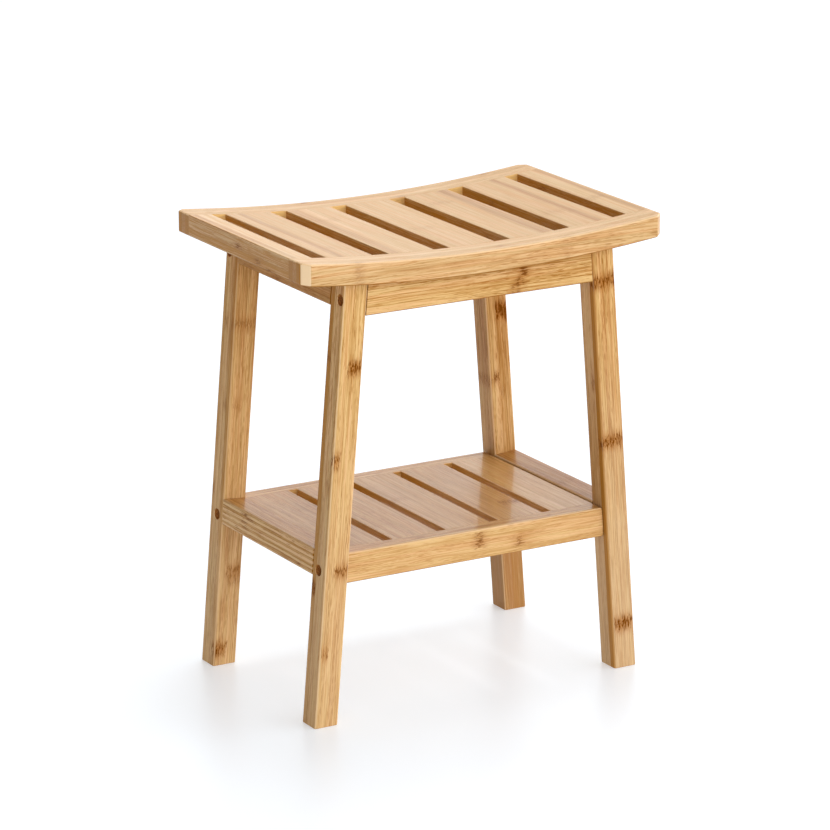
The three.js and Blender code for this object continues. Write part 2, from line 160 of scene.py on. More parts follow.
class Tree:
    """Short ways to add nodes to a node tree."""

    def __init__(self, tree):
        self.tree = tree

    def add(self, kind, inputs=(), **settings):
        node = self.tree.nodes.new("ShaderNode" + kind)
        for name, value in settings.items():
            setattr(node, name, value)
        for name, value in dict(inputs).items():
            self.feed(node.inputs[name], value)
        return node

    def feed(self, socket, value):
        if isinstance(value, bpy.types.NodeSocket):
            self.tree.links.new(value, socket)
        else:
            socket.default_value = value

    def math(self, operation, *values, clamp=False):
        return self.add("Math", enumerate(values), operation=operation, use_clamp=clamp).outputs[0]

    def vector(self, operation, *values):
        return self.add("VectorMath", enumerate(values), operation=operation).outputs[0]

    def plus(self, total, value, amount, clamp=False):
        """The total with this much of a value added."""
        return self.math("MULTIPLY_ADD", value, amount, total, clamp=clamp)

    def times(self, first, *others):
        """The product of values."""
        for other in others:
            first = self.math("MULTIPLY", first, other)
        return first

    def most(self, first, *others):
        """The largest of values."""
        for other in others:
            first = self.math("MAXIMUM", first, other)
        return first

    def minus(self, first, second):
        return self.math("SUBTRACT", first, second)

    def rest(self, value, amount=1.0):
        """What is left of 1 when this much of a value is taken off."""
        return self.math("MULTIPLY_ADD", value, -amount, 1.0)

    def from_whole(self, value):
        """How far a value is from the nearest whole number."""
        into = self.math("FRACT", value)
        return self.math("MINIMUM", into, self.minus(1.0, into))

    def step(self, value, low, high):
        """0 below low and 1 above high, smooth between, or the other way round if low is above high."""
        limits = {"From Min": low, "From Max": high}
        if low > high:
            limits = {"From Min": high, "From Max": low, "To Min": 1.0, "To Max": 0.0}
        return self.add("MapRange", {"Value": value, **limits}, interpolation_type="SMOOTHSTEP").outputs[0]

    def mix(self, factor, first, second):
        """A colour between two. The node's colours are its inputs 6 and 7 and its output 2."""
        return self.add("Mix", {0: factor, 6: first, 7: second}, data_type="RGBA").outputs[2]

    def ramp(self, value, colours, places, interpolation="LINEAR"):
        """A colour for each value."""
        node = self.add("ValToRGB", {0: value})
        elements = node.color_ramp.elements
        node.color_ramp.interpolation = interpolation
        elements.remove(elements[-1])
        for i, (colour, place) in enumerate(zip(colours, places)):
            element = elements[0] if i == 0 else elements.new(place)
            element.position = place
            element.color = colour
        return node.outputs[0]

    def noise(self, place, stretch, detail=2.0, roughness=0.5):
        """Soft noise around 0.5. stretch is how many features fit in a millimetre each way."""
        scaled = self.vector("MULTIPLY", place, stretch)
        settings = {"Vector": scaled, "Scale": 1.0, "Detail": detail, "Roughness": roughness}
        return self.add("TexNoise", settings).outputs[0]

    def sway(self, place, stretch, reach, detail=2.0, roughness=0.5):
        """Noise around 0, up to about a third of reach either way."""
        return self.times(self.minus(self.noise(place, stretch, detail, roughness), 0.5), reach)

    def bump(self, shader, height, strength, distance):
        """Raises the surface by this distance where height is 1."""
        node = self.add("Bump", {"Height": height, "Strength": strength, "Distance": distance})
        self.feed(shader.inputs["Normal"], node.outputs[0])

    def split(self, place):
        node = self.add("SeparateXYZ", {0: place})
        return node.outputs[0], node.outputs[1], node.outputs[2]

    def join(self, x, y, z):
        return self.add("CombineXYZ", {0: x, 1: y, 2: z}).outputs[0]


def group(name, inputs, outputs):
    """An empty node group with these sockets: name to kind."""
    tree = bpy.data.node_groups.new(name, "ShaderNodeTree")
    for direction, sockets in (("INPUT", inputs), ("OUTPUT", outputs)):
        for socket, kind in sockets.items():
            tree.interface.new_socket(socket, in_out=direction, socket_type="NodeSocket" + kind)
    start = tree.nodes.new("NodeGroupInput")
    end = tree.nodes.new("NodeGroupOutput")
    return tree, Tree(tree), start.outputs, end.inputs


def new_material(name):
    """A material, its shader, and short ways to add nodes to it."""
    material = bpy.data.materials.new(name)
    material.use_nodes = True
    return material, material.node_tree.nodes["Principled BSDF"], Tree(material.node_tree)


# Patterns of the fibres: features in a millimetre along the grain and across it, the noise's detail and
# roughness, and its values where the pattern starts and where it is whole.
FIBRE_PATTERNS = {
    "Bands": (0.004, 0.13, 1.0, 0.5, 0.34, 0.66),
    "Streaks": (0.01, 0.5, 3.0, 0.6, 0.38, 0.62),
    "Hairs": (0.02, 1.15, 3.0, 0.7, 0.42, 0.58),
    "Warmth": (0.006, 0.24, 2.0, 0.5, 0.4, 0.62),
}
CROWD_PATTERN = (0.006, 0.16, 1.0, 0.5, 0.38, 0.62)  # where the dashes of the vessels lie close together
SEED_SHIFT = 37.7  # millimetres along the grain between the wood of one seed and the next
GRAIN_SWAY = 3.4
DASH_CELLS = (0.085, 0.8, 0.8)
DASH_SIZE, DASH_GROWTH, DASH_SOFTNESS = 0.2, 0.22, 0.16


def fibre_pattern(build, place, along, across, detail, roughness, starts, whole):
    return build.step(build.noise(place, (along, across, across), detail, roughness), starts, whole)


def fibre_group():
    """Bamboo's fibres. Grain is millimetres along the fibres, across the strip and through the plies."""
    outputs = dict.fromkeys(("Dashes", *FIBRE_PATTERNS), "Float")
    tree, build, given, made = group("bamboo_fibres", {"Grain": "Vector", "Seed": "Float"}, outputs)
    shift = build.join(build.times(given["Seed"], SEED_SHIFT), given["Seed"], given["Seed"])
    place = build.vector("ADD", given["Grain"], shift)
    sway = build.sway(place, (0.011, 0.05, 0.05), GRAIN_SWAY)
    place = build.vector("ADD", place, build.join(0.0, sway, sway))
    for name, pattern in FIBRE_PATTERNS.items():
        build.feed(made[name], fibre_pattern(build, place, *pattern))
    cells = build.vector("MULTIPLY", place, DASH_CELLS)
    dashes = build.add("TexVoronoi", {"Vector": cells, "Scale": 1.0}).outputs["Distance"]
    reach = build.plus(DASH_SIZE, fibre_pattern(build, place, *CROWD_PATTERN), DASH_GROWTH)
    build.feed(made["Dashes"], build.step(build.minus(reach, dashes), 0.0, DASH_SOFTNESS))
    return tree


# Knots, in millimetres.
KNOT_ZIGZAG = 11.0
KNOT_NARROWEST, KNOT_WIDENING = 2.2, 9.0
KNOT_CORE = (1.0, 0.35)  # parts of its width where the core starts and where it is whole
KNOT_TICKS, KNOT_BETWEEN_TICKS = 0.78, 0.12
KNOT_TAIL_LENGTH, KNOT_TAIL_WHOLE, KNOT_TAIL_DARKNESS = 17.0, 2.0, 0.36
KNOT_HALO_WIDTH = 14.0
KNOT_RAGGEDNESS, KNOT_SIDE_SOFTNESS = 8.0, 2.5


def knot_group():
    """The mark where a culm's joint crosses one strip of one ply."""
    numbers = ("Ply", "At", "On_Ply", "Middle", "Reach", "Strength")
    inputs = {"Grain": "Vector", **dict.fromkeys(numbers, "Float")}
    tree, build, given, made = group("bamboo_knot", inputs, {"Mark": "Float", "Halo": "Float"})
    along, across, through = build.split(given["Grain"])
    flat = build.join(build.times(given["At"], 0.37), across, through)
    zigzag = build.sway(flat, (1.0, 0.17, 0.17), KNOT_ZIGZAG, 2.0, 0.65)
    offset = build.minus(build.minus(along, given["At"]), zigzag)
    distance = build.math("ABSOLUTE", offset)

    ragged = build.step(build.noise(flat, (1.0, 0.8, 0.8), 2.0, 0.7), 0.36, 0.64)
    width = build.plus(KNOT_NARROWEST, ragged, KNOT_WIDENING)
    core = build.step(build.math("DIVIDE", distance, width), *KNOT_CORE)
    ticks = build.noise(given["Grain"], (0.15, 0.7, 0.7), 2.0, 0.75)
    core = build.times(core, build.plus(KNOT_BETWEEN_TICKS, build.step(ticks, 0.45, 0.56), KNOT_TICKS))

    bend = build.times(build.math("ABSOLUTE", zigzag), 0.35)
    curved = build.vector("ADD", given["Grain"], build.join(0.0, bend, bend))
    chevrons = build.step(build.noise(curved, (0.09, 0.75, 0.75), 2.0, 0.6), 0.5, 0.66)
    tails = build.times(chevrons, build.step(distance, KNOT_TAIL_LENGTH, KNOT_TAIL_WHOLE))
    mark = build.plus(core, tails, KNOT_TAIL_DARKNESS, clamp=True)

    on_ply = build.math("COMPARE", given["Ply"], given["On_Ply"], 0.5)
    aside = build.math("ABSOLUTE", build.minus(across, given["Middle"]))
    reach = build.plus(given["Reach"], build.minus(ticks, 0.5), KNOT_RAGGEDNESS)
    on_strip = build.step(build.minus(reach, aside), 0.0, KNOT_SIDE_SOFTNESS)
    gate = build.times(on_ply, on_strip, given["Strength"])
    build.feed(made["Mark"], build.times(mark, gate))
    build.feed(made["Halo"], build.times(build.step(distance, KNOT_HALO_WIDTH, 0.0), gate))
    return tree


FIBRES = fibre_group()
KNOT = knot_group()

# Colours, from pale to dark where there are three.
# Painted highlight colour, for upward arrises and cut corners.
HIGHLIGHT_CREAM = (0.85, 0.61, 0.36, 1)
KNOT_COLOUR = (0.155, 0.042, 0.002, 1)
RUST_COLOUR = (0.42, 0.155, 0.02, 1)
PLY_COLOUR = (0.40, 0.158, 0.008, 1)
# Painted brown shade, for slot walls and side faces.
SHADE_BROWN = (0.47, 0.195, 0.014, 1)
# Painted light from the floor, on the lower legs.
FLOOR_BOUNCE_COLOUR = (0.62, 0.43, 0.24, 1)
# Painted golden light, for the faces of the back rail's slot ends.
GOLDEN_LIGHT = (0.88, 0.56, 0.19, 1)
FRAME_COLOURS = ((0.67, 0.43, 0.175, 1), (0.525, 0.287, 0.085, 1), (0.32, 0.13, 0.016, 1))
SEAT_COLOURS = ((0.66, 0.435, 0.205, 1), (0.52, 0.295, 0.1, 1), (0.33, 0.138, 0.02, 1))
SHELF_COLOURS = ((0.66, 0.415, 0.165, 1), (0.505, 0.26, 0.066, 1), (0.33, 0.125, 0.012, 1))
WARM_COLOURS = ((0.72, 0.415, 0.195, 1), (0.57, 0.272, 0.085, 1), (0.36, 0.12, 0.014, 1))
COLOUR_PLACES = (0.0, 0.45, 1.0)

# Colours, how far the fibres show on a ply's face and on its edge, roughness, gloss, coat and its roughness.
FINISHES = {
    "seat_bamboo": (SEAT_COLOURS, (0.32, 1.5), 0.42, 0.3, 0.25, 0.22),
    "frame_bamboo": (FRAME_COLOURS, (1.25, 1.45), 0.45, 0.15, 0.1, 0.2),
    "shelf_bamboo": (SHELF_COLOURS, (0.7, 1.3), 0.36, 0.28, 0.42, 0.1),
}

ALONG, ACROSS, THROUGH = 0, 1, 2

# How much darker or paler things make the wood, and where, painted shade and highlights among them.
FIBRE_WEIGHTS = (("Bands", 0.2), ("Streaks", 0.28), ("Hairs", 0.36))
DASHES_DARKER = 0.34
END_CONTRAST = 2.5  # how much more plies differ on the ends of a piece
PLY_WANDER = 0.25  # of a ply's thickness
DEEP_GAIN = 1.5  # how fast dark plies take on their own colour
GLUE_STARTS, GLUE_WHOLE, GLUE_DARKER = 0.5, 0.1, 0.4
BUTT_STARTS, BUTT_WHOLE, BUTT_GLUE = 0.4, 0.08, 0.7
STRIP_CHANGE = 0.12
STRIP_SHIFT = 0.37  # of a strip's width, from one seed to the next
# Painted shade under the pieces and on their lower arrises.
UNDERSIDE_SHADE, LOW_ARRIS_SHADE = 0.3, 0.8
# Upward parts of a normal where each of these starts and is whole.
UNDERSIDE, LOW_ARRIS, HIGH_ARRIS, DRY_SIDE = (-0.3, -0.8), (-0.05, -0.35), (-0.3, -0.05), (-0.1, -0.5)
# Painted highlight on upward arrises: how much paler, and how much of the highlight colour.
HIGHLIGHT_PALER, HIGHLIGHT_SHARE = 0.15, 0.6
CUT_STARTS, CUT_WHOLE = 0.3, 0.45  # along times through, in a normal, where a corner is cut off
WARM_SHARE, RUST_SHARE = 0.5, 0.55
# Painted light from the floor: where it starts and is whole along the grain, its mean, and how far the
# fibres change it.
FLOOR_BOUNCE_STARTS, FLOOR_BOUNCE_WHOLE, FLOOR_BOUNCE_MEAN, FLOOR_BOUNCE_HAIRS = 450.0, 50.0, 1.3, 0.6
# Painted brown shade: its mean share, and how far the fibres change it.
SHADE_BROWN_MEAN, SHADE_BROWN_HAIRS = 0.55, 0.9
DRY_PLIES, DRY_BELOW = 0.8, 0.8  # how much lacquer dark plies and undersides lack
ROUGHNESS_CHANGE = 0.1
DASHES_SUNK, GLUE_SUNK, STREAKS_RAISED = 0.5, 0.7, 0.5
RELIEF = 0.06 * MM
EVERYWHERE = 1000.0


def looks_one_way(build, part, sign):
    """1 where a face looks along an axis, from the normal's part along it."""
    return build.step(part, sign * SIDE_STARTS, sign * SIDE_WHOLE)


def ply_nodes(build, grain, through, ply, first_ply):
    """A ply's number, and the glue line beside it."""
    wander = build.sway(grain, (0.004, 0.0, 0.0), PLY_WANDER)
    level = build.math("DIVIDE", build.minus(through, first_ply), ply)
    level = build.math("ADD", level, wander)
    glue = build.step(build.times(build.from_whole(level), ply), GLUE_STARTS, GLUE_WHOLE)
    return build.math("FLOOR", level), glue


def ply_darkness(build, index, plies):
    """How much darker each ply's edge is. A ramp holds no negative colours, so they are shifted by 0.5."""
    shades = [(darkness + 0.5,) * 3 + (1,) for darkness in plies]
    places = [i / len(plies) for i in range(len(plies))]
    place = build.math("DIVIDE", build.math("ADD", index, 0.5), float(len(plies)))
    return build.minus(build.ramp(place, shades, places, "CONSTANT"), 0.5)


def strip_nodes(build, across, index, width, seed):
    """How much darker each strip is, from -0.5 to 0.5, and the joint beside it."""
    column = build.math("ADD", build.math("DIVIDE", across, width), seed * STRIP_SHIFT)
    strip = build.join(build.math("FLOOR", column), index, seed)
    tone = build.add("TexWhiteNoise", {"Vector": strip}).outputs[0]
    butt = build.step(build.times(build.from_whole(column), width), BUTT_STARTS, BUTT_WHOLE)
    return build.minus(tone, 0.5), butt


def knot_marks(build, grain, index, knots):
    """All knots of a piece: their dark marks and the rust around them."""
    marks = rust = 0.0
    for ply, place, strength, *span in knots:
        middle, reach = span or (0.0, EVERYWHERE)
        values = {
            "Grain": grain, "Ply": index, "At": place, "On_Ply": ply,
            "Middle": middle, "Reach": reach, "Strength": strength,
        }
        knot = build.add("Group", values, node_tree=KNOT)
        marks = build.math("ADD", knot.outputs["Mark"], marks, clamp=True)
        rust = build.plus(rust, knot.outputs["Halo"], RUST_SHARE, clamp=True)
    return marks, rust


def bamboo(
    name, finish, seed, plies, ply, first_ply, knots=(), tint=0.3, painted_shading=(), painted_side_colour=(), strip=0.0,
    corner_highlight=0.0, darker_along=(), floor_bounce=0.0, paling=(), figure=None, shine=1.0,
):
    """Laminated bamboo. Lengths are in millimetres, and axes are the grain's.

    plies: how much darker each ply's edge is, for plies that are ply thick and start at first_ply.
    knots: (ply, place along the grain, strength), and (middle, reach) across it if not everywhere.
    tint: how dark the wood is. painted_shading: painted shade on faces that look one way, and painted
    light where the amount is negative, (axis, sign, how much). painted_side_colour: painted brown shade
    on faces that look one way, (axis, sign, how much); an entry with a colour of its own paints light in it.
    strip: the width of strips side by side. corner_highlight: painted highlight on some cut corners.
    darker_along: how much darker the wood gets along the grain, (from, to, how much), on legs partly
    painted shade and painted light. paling: how much less the dark plies' edges show, likewise.
    floor_bounce: how much painted light from the floor the wood gets near it.
    figure: how far the fibres show on faces and edges. shine: how much lacquer there is.
    """
    colours, contrast, roughness, gloss, coat, coat_roughness = FINISHES[finish]
    material, shader, build = new_material("bamboo_" + name)
    grain = build.add("Attribute", attribute_name="grain").outputs["Vector"]
    facing = build.split(build.add("Attribute", attribute_name="facing").outputs["Vector"])
    upward = build.split(build.add("NewGeometry").outputs["Normal"])[2]
    along, across, through = build.split(grain)
    fibres = build.add("Group", {"Grain": grain, "Seed": seed}, node_tree=FIBRES).outputs

    # Where the surface looks.
    turned_to = [build.math("ABSOLUTE", part) for part in facing]
    flatness = build.most(*turned_to)
    rounded = build.step(flatness, ARRIS_STARTS, ARRIS_WHOLE)
    on_edges = build.step(turned_to[THROUGH], SIDE_WHOLE, SIDE_STARTS)
    on_ends = build.step(turned_to[ALONG], SIDE_STARTS, SIDE_WHOLE)
    askew = build.times(facing[ALONG], facing[THROUGH])
    cut_corner = build.step(build.math("ABSOLUTE", askew), CUT_STARTS, CUT_WHOLE)

    # Plies and strips.
    index, glue = ply_nodes(build, grain, through, ply, first_ply)
    darkness = build.times(ply_darkness(build, index, plies), build.plus(1.0, on_ends, END_CONTRAST))
    if paling:
        start, end, amount = paling
        darkness = build.times(darkness, build.rest(build.step(along, start, end), amount))
    darkness = build.times(darkness, on_edges)
    deep = build.math("MULTIPLY", darkness, DEEP_GAIN, clamp=True)
    factor = build.math("ADD", darkness, tint)
    if strip:
        tone, butt = strip_nodes(build, across, index, strip, seed)
        factor = build.plus(factor, tone, STRIP_CHANGE)
        glue = build.most(glue, build.times(butt, BUTT_GLUE))
    factor = build.plus(factor, glue, GLUE_DARKER)

    # Painted shade underneath and on lower arrises, darkening along the grain, and painted shading by
    # facing.
    factor = build.plus(factor, build.step(upward, *UNDERSIDE), UNDERSIDE_SHADE)
    low_arris_shade = build.times(rounded, build.step(upward, *LOW_ARRIS))
    factor = build.plus(factor, low_arris_shade, LOW_ARRIS_SHADE)
    # Darker along the grain, in part painted shade near the legs' tops and painted light near the floor.
    for start, end, amount in darker_along:
        factor = build.plus(factor, build.step(along, start, end), amount)
    # Painted shade on faces that look one way, and painted light where the amount is negative.
    for axis, sign, amount in painted_shading:
        factor = build.plus(factor, looks_one_way(build, facing[axis], sign), amount)

    # Fibres.
    on_face, on_edge = figure or contrast
    marking = build.times(fibres["Dashes"], DASHES_DARKER)
    for pattern, weight in FIBRE_WEIGHTS:
        marking = build.plus(marking, build.minus(fibres[pattern], 0.5), weight)
    contrast = build.plus(on_face, on_edges, on_edge - on_face)
    factor = build.plus(factor, marking, contrast)

    # Knots, and the painted highlight on upward arrises.
    marks, rust = knot_marks(build, grain, index, knots)
    no_highlight = build.most(glue, cut_corner, deep)
    arris_highlight = build.times(rounded, build.rest(no_highlight), build.step(upward, *HIGH_ARRIS))
    factor = build.plus(factor, arris_highlight, -HIGHLIGHT_PALER)

    # Colour.
    colour = build.ramp(factor, colours, COLOUR_PLACES)
    warm_colour = build.ramp(factor, WARM_COLOURS, COLOUR_PLACES)
    colour = build.mix(build.times(fibres["Warmth"], WARM_SHARE), colour, warm_colour)
    # Painted light from the floor near the foot.
    if floor_bounce:
        pale = build.plus(FLOOR_BOUNCE_MEAN * floor_bounce, fibres["Hairs"], -FLOOR_BOUNCE_HAIRS * floor_bounce)
        near_floor = build.step(along, FLOOR_BOUNCE_STARTS, FLOOR_BOUNCE_WHOLE)
        colour = build.mix(build.times(near_floor, pale), colour, FLOOR_BOUNCE_COLOUR)
    colour = build.mix(deep, colour, PLY_COLOUR)
    # Painted brown shade on faces that look one way, and painted light where an entry has its own colour.
    for axis, sign, amount, *own_colour in painted_side_colour:
        side_colour_share = build.plus(SHADE_BROWN_MEAN * amount, fibres["Hairs"], SHADE_BROWN_HAIRS * amount)
        side_colour_share = build.times(looks_one_way(build, facing[axis], sign), side_colour_share)
        colour = build.mix(side_colour_share, colour, own_colour[0] if own_colour else SHADE_BROWN)
    if knots:
        colour = build.mix(rust, colour, RUST_COLOUR)
        colour = build.mix(marks, colour, KNOT_COLOUR)
    # Painted highlight on upward arrises.
    colour = build.mix(build.times(arris_highlight, HIGHLIGHT_SHARE), colour, HIGHLIGHT_CREAM)
    # Painted highlight on the cut corners of one diagonal.
    if corner_highlight:
        lit_corner = build.step(askew, CUT_STARTS, CUT_WHOLE)
        colour = build.mix(build.times(lit_corner, corner_highlight), colour, HIGHLIGHT_CREAM)
    build.feed(shader.inputs["Base Color"], colour)

    # Lacquer.
    uneven = build.minus(fibres["Streaks"], 0.5)
    build.feed(shader.inputs["Roughness"], build.plus(roughness, uneven, ROUGHNESS_CHANGE))
    clean = build.rest(build.most(marks, build.times(deep, DRY_PLIES)))
    clean = build.times(clean, build.rest(build.step(upward, *DRY_SIDE), DRY_BELOW))
    build.feed(shader.inputs["Specular IOR Level"], build.times(clean, gloss * shine))
    build.feed(shader.inputs["Coat Weight"], build.times(clean, coat * shine))
    shader.inputs["Coat Roughness"].default_value = coat_roughness

    # Relief.
    height = build.plus(fibres["Hairs"], fibres["Streaks"], STREAKS_RAISED)
    height = build.plus(height, fibres["Dashes"], -DASHES_SUNK)
    height = build.plus(height, glue, -GLUE_SUNK)
    build.bump(shader, height, 0.5, RELIEF)
    return material


BORE_COLOURS = ((0.27, 0.085, 0.01, 1), (0.55, 0.21, 0.035, 1))
BORE_GRAIN = 900.0
BORE_ROUGHNESS, BORE_ROUGHNESS_CHANGE = 0.6, 0.2
STAIN_GRAIN = 260.0
STAIN_DARKNESS = 0.55
STAIN_ROUGHNESS_CHANGE = 0.3
RING_DISTORTION = 0.6


def bored():
    """The inside of a drilled hole: unlacquered, its fibres torn by the drill, and darkened as painted
    shade.
    """
    material, shader, build = new_material("bored_bamboo")
    place = build.add("TexCoord").outputs["Object"]
    fibres = build.add("TexNoise", {"Vector": place, "Scale": BORE_GRAIN, "Detail": 3.0}).outputs[0]
    build.feed(shader.inputs["Base Color"], build.mix(build.step(fibres, 0.35, 0.65), *BORE_COLOURS))
    build.feed(shader.inputs["Roughness"], build.plus(BORE_ROUGHNESS, fibres, BORE_ROUGHNESS_CHANGE))
    build.bump(shader, fibres, 0.6, 0.1 * MM)
    return material


def metal(name, colour, roughness, ring_scale):
    """Turned metal: fine rings around the piece's own axis, with stains."""
    material, shader, build = new_material(name)
    place = build.add("TexCoord").outputs["Object"]
    stains = build.add("TexNoise", {"Vector": place, "Scale": STAIN_GRAIN, "Detail": 5.0}).outputs[0]
    darker = tuple(c * STAIN_DARKNESS for c in colour) + (1,)
    stained = build.mix(build.step(stains, 0.35, 0.7), colour + (1,), darker)
    build.feed(shader.inputs["Base Color"], stained)
    waves = {"Vector": place, "Scale": ring_scale, "Distortion": RING_DISTORTION}
    rings = build.add("TexWave", waves, wave_type="RINGS")
    build.feed(shader.inputs["Roughness"], build.plus(roughness - 0.1, stains, STAIN_ROUGHNESS_CHANGE))
    build.bump(shader, rings.outputs[1], 0.3, 0.03 * MM)
    shader.inputs["Metallic"].default_value = 1.0
    return material


# Painted shade lines the drilled holes and screw pockets.
bore_shade_lining = bored()

# ---- Meshes ----


def near(first, second):
    return abs(first - second) < NEARLY


def runs(direction, axis):
    return abs(direction.dot(axis)) > 0.99


def prism(outline, axis, low, high):
    """An outline of two-dimensional points, run along an axis from low to high."""
    mesh = bmesh.new()
    place = {"X": lambda u, v, w: (w, u, v), "Y": lambda u, v, w: (u, w, v), "Z": lambda u, v, w: (u, v, w)}
    rings = [[mesh.verts.new(place[axis](u, v, w)) for u, v in outline] for w in (low, high)]
    mesh.faces.new(rings[0])
    mesh.faces.new(rings[1])
    for i in range(len(outline)):
        j = (i + 1) % len(outline)
        mesh.faces.new((rings[0][i], rings[0][j], rings[1][j], rings[1][i]))
    bmesh.ops.recalc_face_normals(mesh, faces=mesh.faces)
    return mesh


def block(low, high):
    outline = [(low[0], low[1]), (high[0], low[1]), (high[0], high[1]), (low[0], high[1])]
    return prism(outline, "Z", low[2], high[2])


def turned(profile, centre, direction, sides=CIRCLE_SIDES):
    """A closed body turned around a line. profile is (distance along it, radius), from end to end."""
    mesh = bmesh.new()
    turn = Z.rotation_difference(Vector(direction)).to_matrix()
    rings = []
    for distance, radius in profile:
        angles = [math.tau * i / sides for i in range(sides)] if radius else [0.0]
        points = [Vector((radius * math.cos(a), radius * math.sin(a), distance)) for a in angles]
        rings.append([mesh.verts.new(Vector(centre) + turn @ point) for point in points])
    for first, second in zip(rings, rings[1:]):
        for i in range(sides):
            j = (i + 1) % sides
            around = ((first, i), (first, j), (second, j), (second, i))
            unique = list(dict.fromkeys(ring[k % len(ring)] for ring, k in around))
            if len(unique) > 2:
                mesh.faces.new(unique)
    bmesh.ops.recalc_face_normals(mesh, faces=mesh.faces)
    return mesh


def soften(mesh, radius, wanted, steps=ROUND_STEPS):
    """Rounds the edges for which wanted(at, way) is true: an edge's middle and its direction."""
    edges = []
    for edge in mesh.edges:
        first, second = (v.co for v in edge.verts)
        if wanted((first + second) / 2, (second - first).normalized()):
            edges.append(edge)
    bmesh.ops.bevel(
        mesh, geom=edges, offset=radius, offset_type="OFFSET", segments=steps, profile=0.5,
        affect="EDGES", clamp_overlap=True,
    )


def bend(mesh):
    """Bends a straight piece down into the seat's dish, on rings of vertices cut across the seat."""
    for i in range(1, DISH_STEPS):
        place = X * HALF_LENGTH * (2 * i / DISH_STEPS - 1)
        parts = mesh.verts[:] + mesh.edges[:] + mesh.faces[:]
        bmesh.ops.bisect_plane(mesh, geom=parts, dist=WELD, plane_co=place, plane_no=X)
    for vertex in mesh.verts:
        vertex.co.z -= dished(vertex.co.x)


def linked(name, data):
    made = bpy.data.objects.new(name, data)
    bpy.context.scene.collection.objects.link(made)
    return made


def object_of(mesh, name, material, matrix=Matrix.Identity(4)):
    data = bpy.data.meshes.new(name)
    mesh.to_mesh(data)
    mesh.free()
    data.materials.append(material)
    made = linked(name, data)
    made.matrix_world = matrix
    return made


def cut(made, cutters, lining):
    """Cuts meshes out of a piece for good, and lines the holes with a material."""
    for cutter in cutters:
        tool = object_of(cutter, made.name + "_cutter", lining, made.matrix_world.copy())
        modifier = made.modifiers.new("cut", "BOOLEAN")
        modifier.operation = "DIFFERENCE"
        modifier.solver = "EXACT"
        modifier.material_mode = "TRANSFER"
        modifier.object = tool
        bpy.context.view_layer.update()
        evaluated = made.evaluated_get(bpy.context.evaluated_depsgraph_get())
        data = bpy.data.meshes.new_from_object(evaluated)
        made.modifiers.clear()
        made.data = data
        bpy.data.objects.remove(tool)


def smooth_shade(made):
    """Smooth faces with sharp edges kept, and normals that keep the flat faces flat."""
    mesh = bmesh.new()
    mesh.from_mesh(made.data)
    bmesh.ops.remove_doubles(mesh, verts=mesh.verts, dist=WELD)
    for face in mesh.faces:
        face.smooth = True
    for edge in mesh.edges:
        edge.smooth = len(edge.link_faces) == 2 and edge.calc_face_angle(0) < SHARP_ANGLE
    mesh.to_mesh(made.data)
    mesh.free()
    weigh = made.modifiers.new("flat_faces", "WEIGHTED_NORMAL")
    weigh.keep_sharp = True


def store_grain(made, axes, origin):
    """Stores where each vertex lies in the wood, in millimetres, and which way each face looks.

    axes run along, across and through the wood, from origin. Flat faces look one way all over, and
    rounded ones turn from vertex to vertex.
    """
    places = made.data.attributes.new("grain", "FLOAT_VECTOR", "POINT")
    for vertex, entry in zip(made.data.vertices, places.data):
        place = (vertex.co - Vector(origin)) / MM
        entry.vector = [place.dot(axis) for axis in axes]
    sums = [Vector() for _ in made.data.vertices]
    for face in made.data.polygons:
        for index in face.vertices:
            sums[index] += face.normal
    looks = made.data.attributes.new("facing", "FLOAT_VECTOR", "CORNER")
    for face in made.data.polygons:
        is_flat = max(abs(face.normal.dot(axis)) for axis in axes) > ARRIS_STARTS
        for corner in face.loop_indices:
            turned_to = face.normal if is_flat else sums[made.data.loops[corner].vertex_index].normalized()
            looks.data[corner].vector = [turned_to.dot(axis) for axis in axes]
    made.data.transform(made.matrix_world)
    made.matrix_world = Matrix.Identity(4)


def adopt(made, node):
    """Puts a piece in the place of a CAD node."""
    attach(made, "root")
    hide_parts(node)


def finish_wood(made, node, axes, origin):
    """The last steps of every wooden piece."""
    smooth_shade(made)
    store_grain(made, axes, origin)
    adopt(made, node)


def wooden(mesh, name, finish, wood, axes, origin):
    """A piece of bamboo that has no holes drilled in it."""
    made = object_of(mesh, name + "_fine", bamboo(name, finish, **wood))
    finish_wood(made, name, axes, origin)


# ---- Seat ----

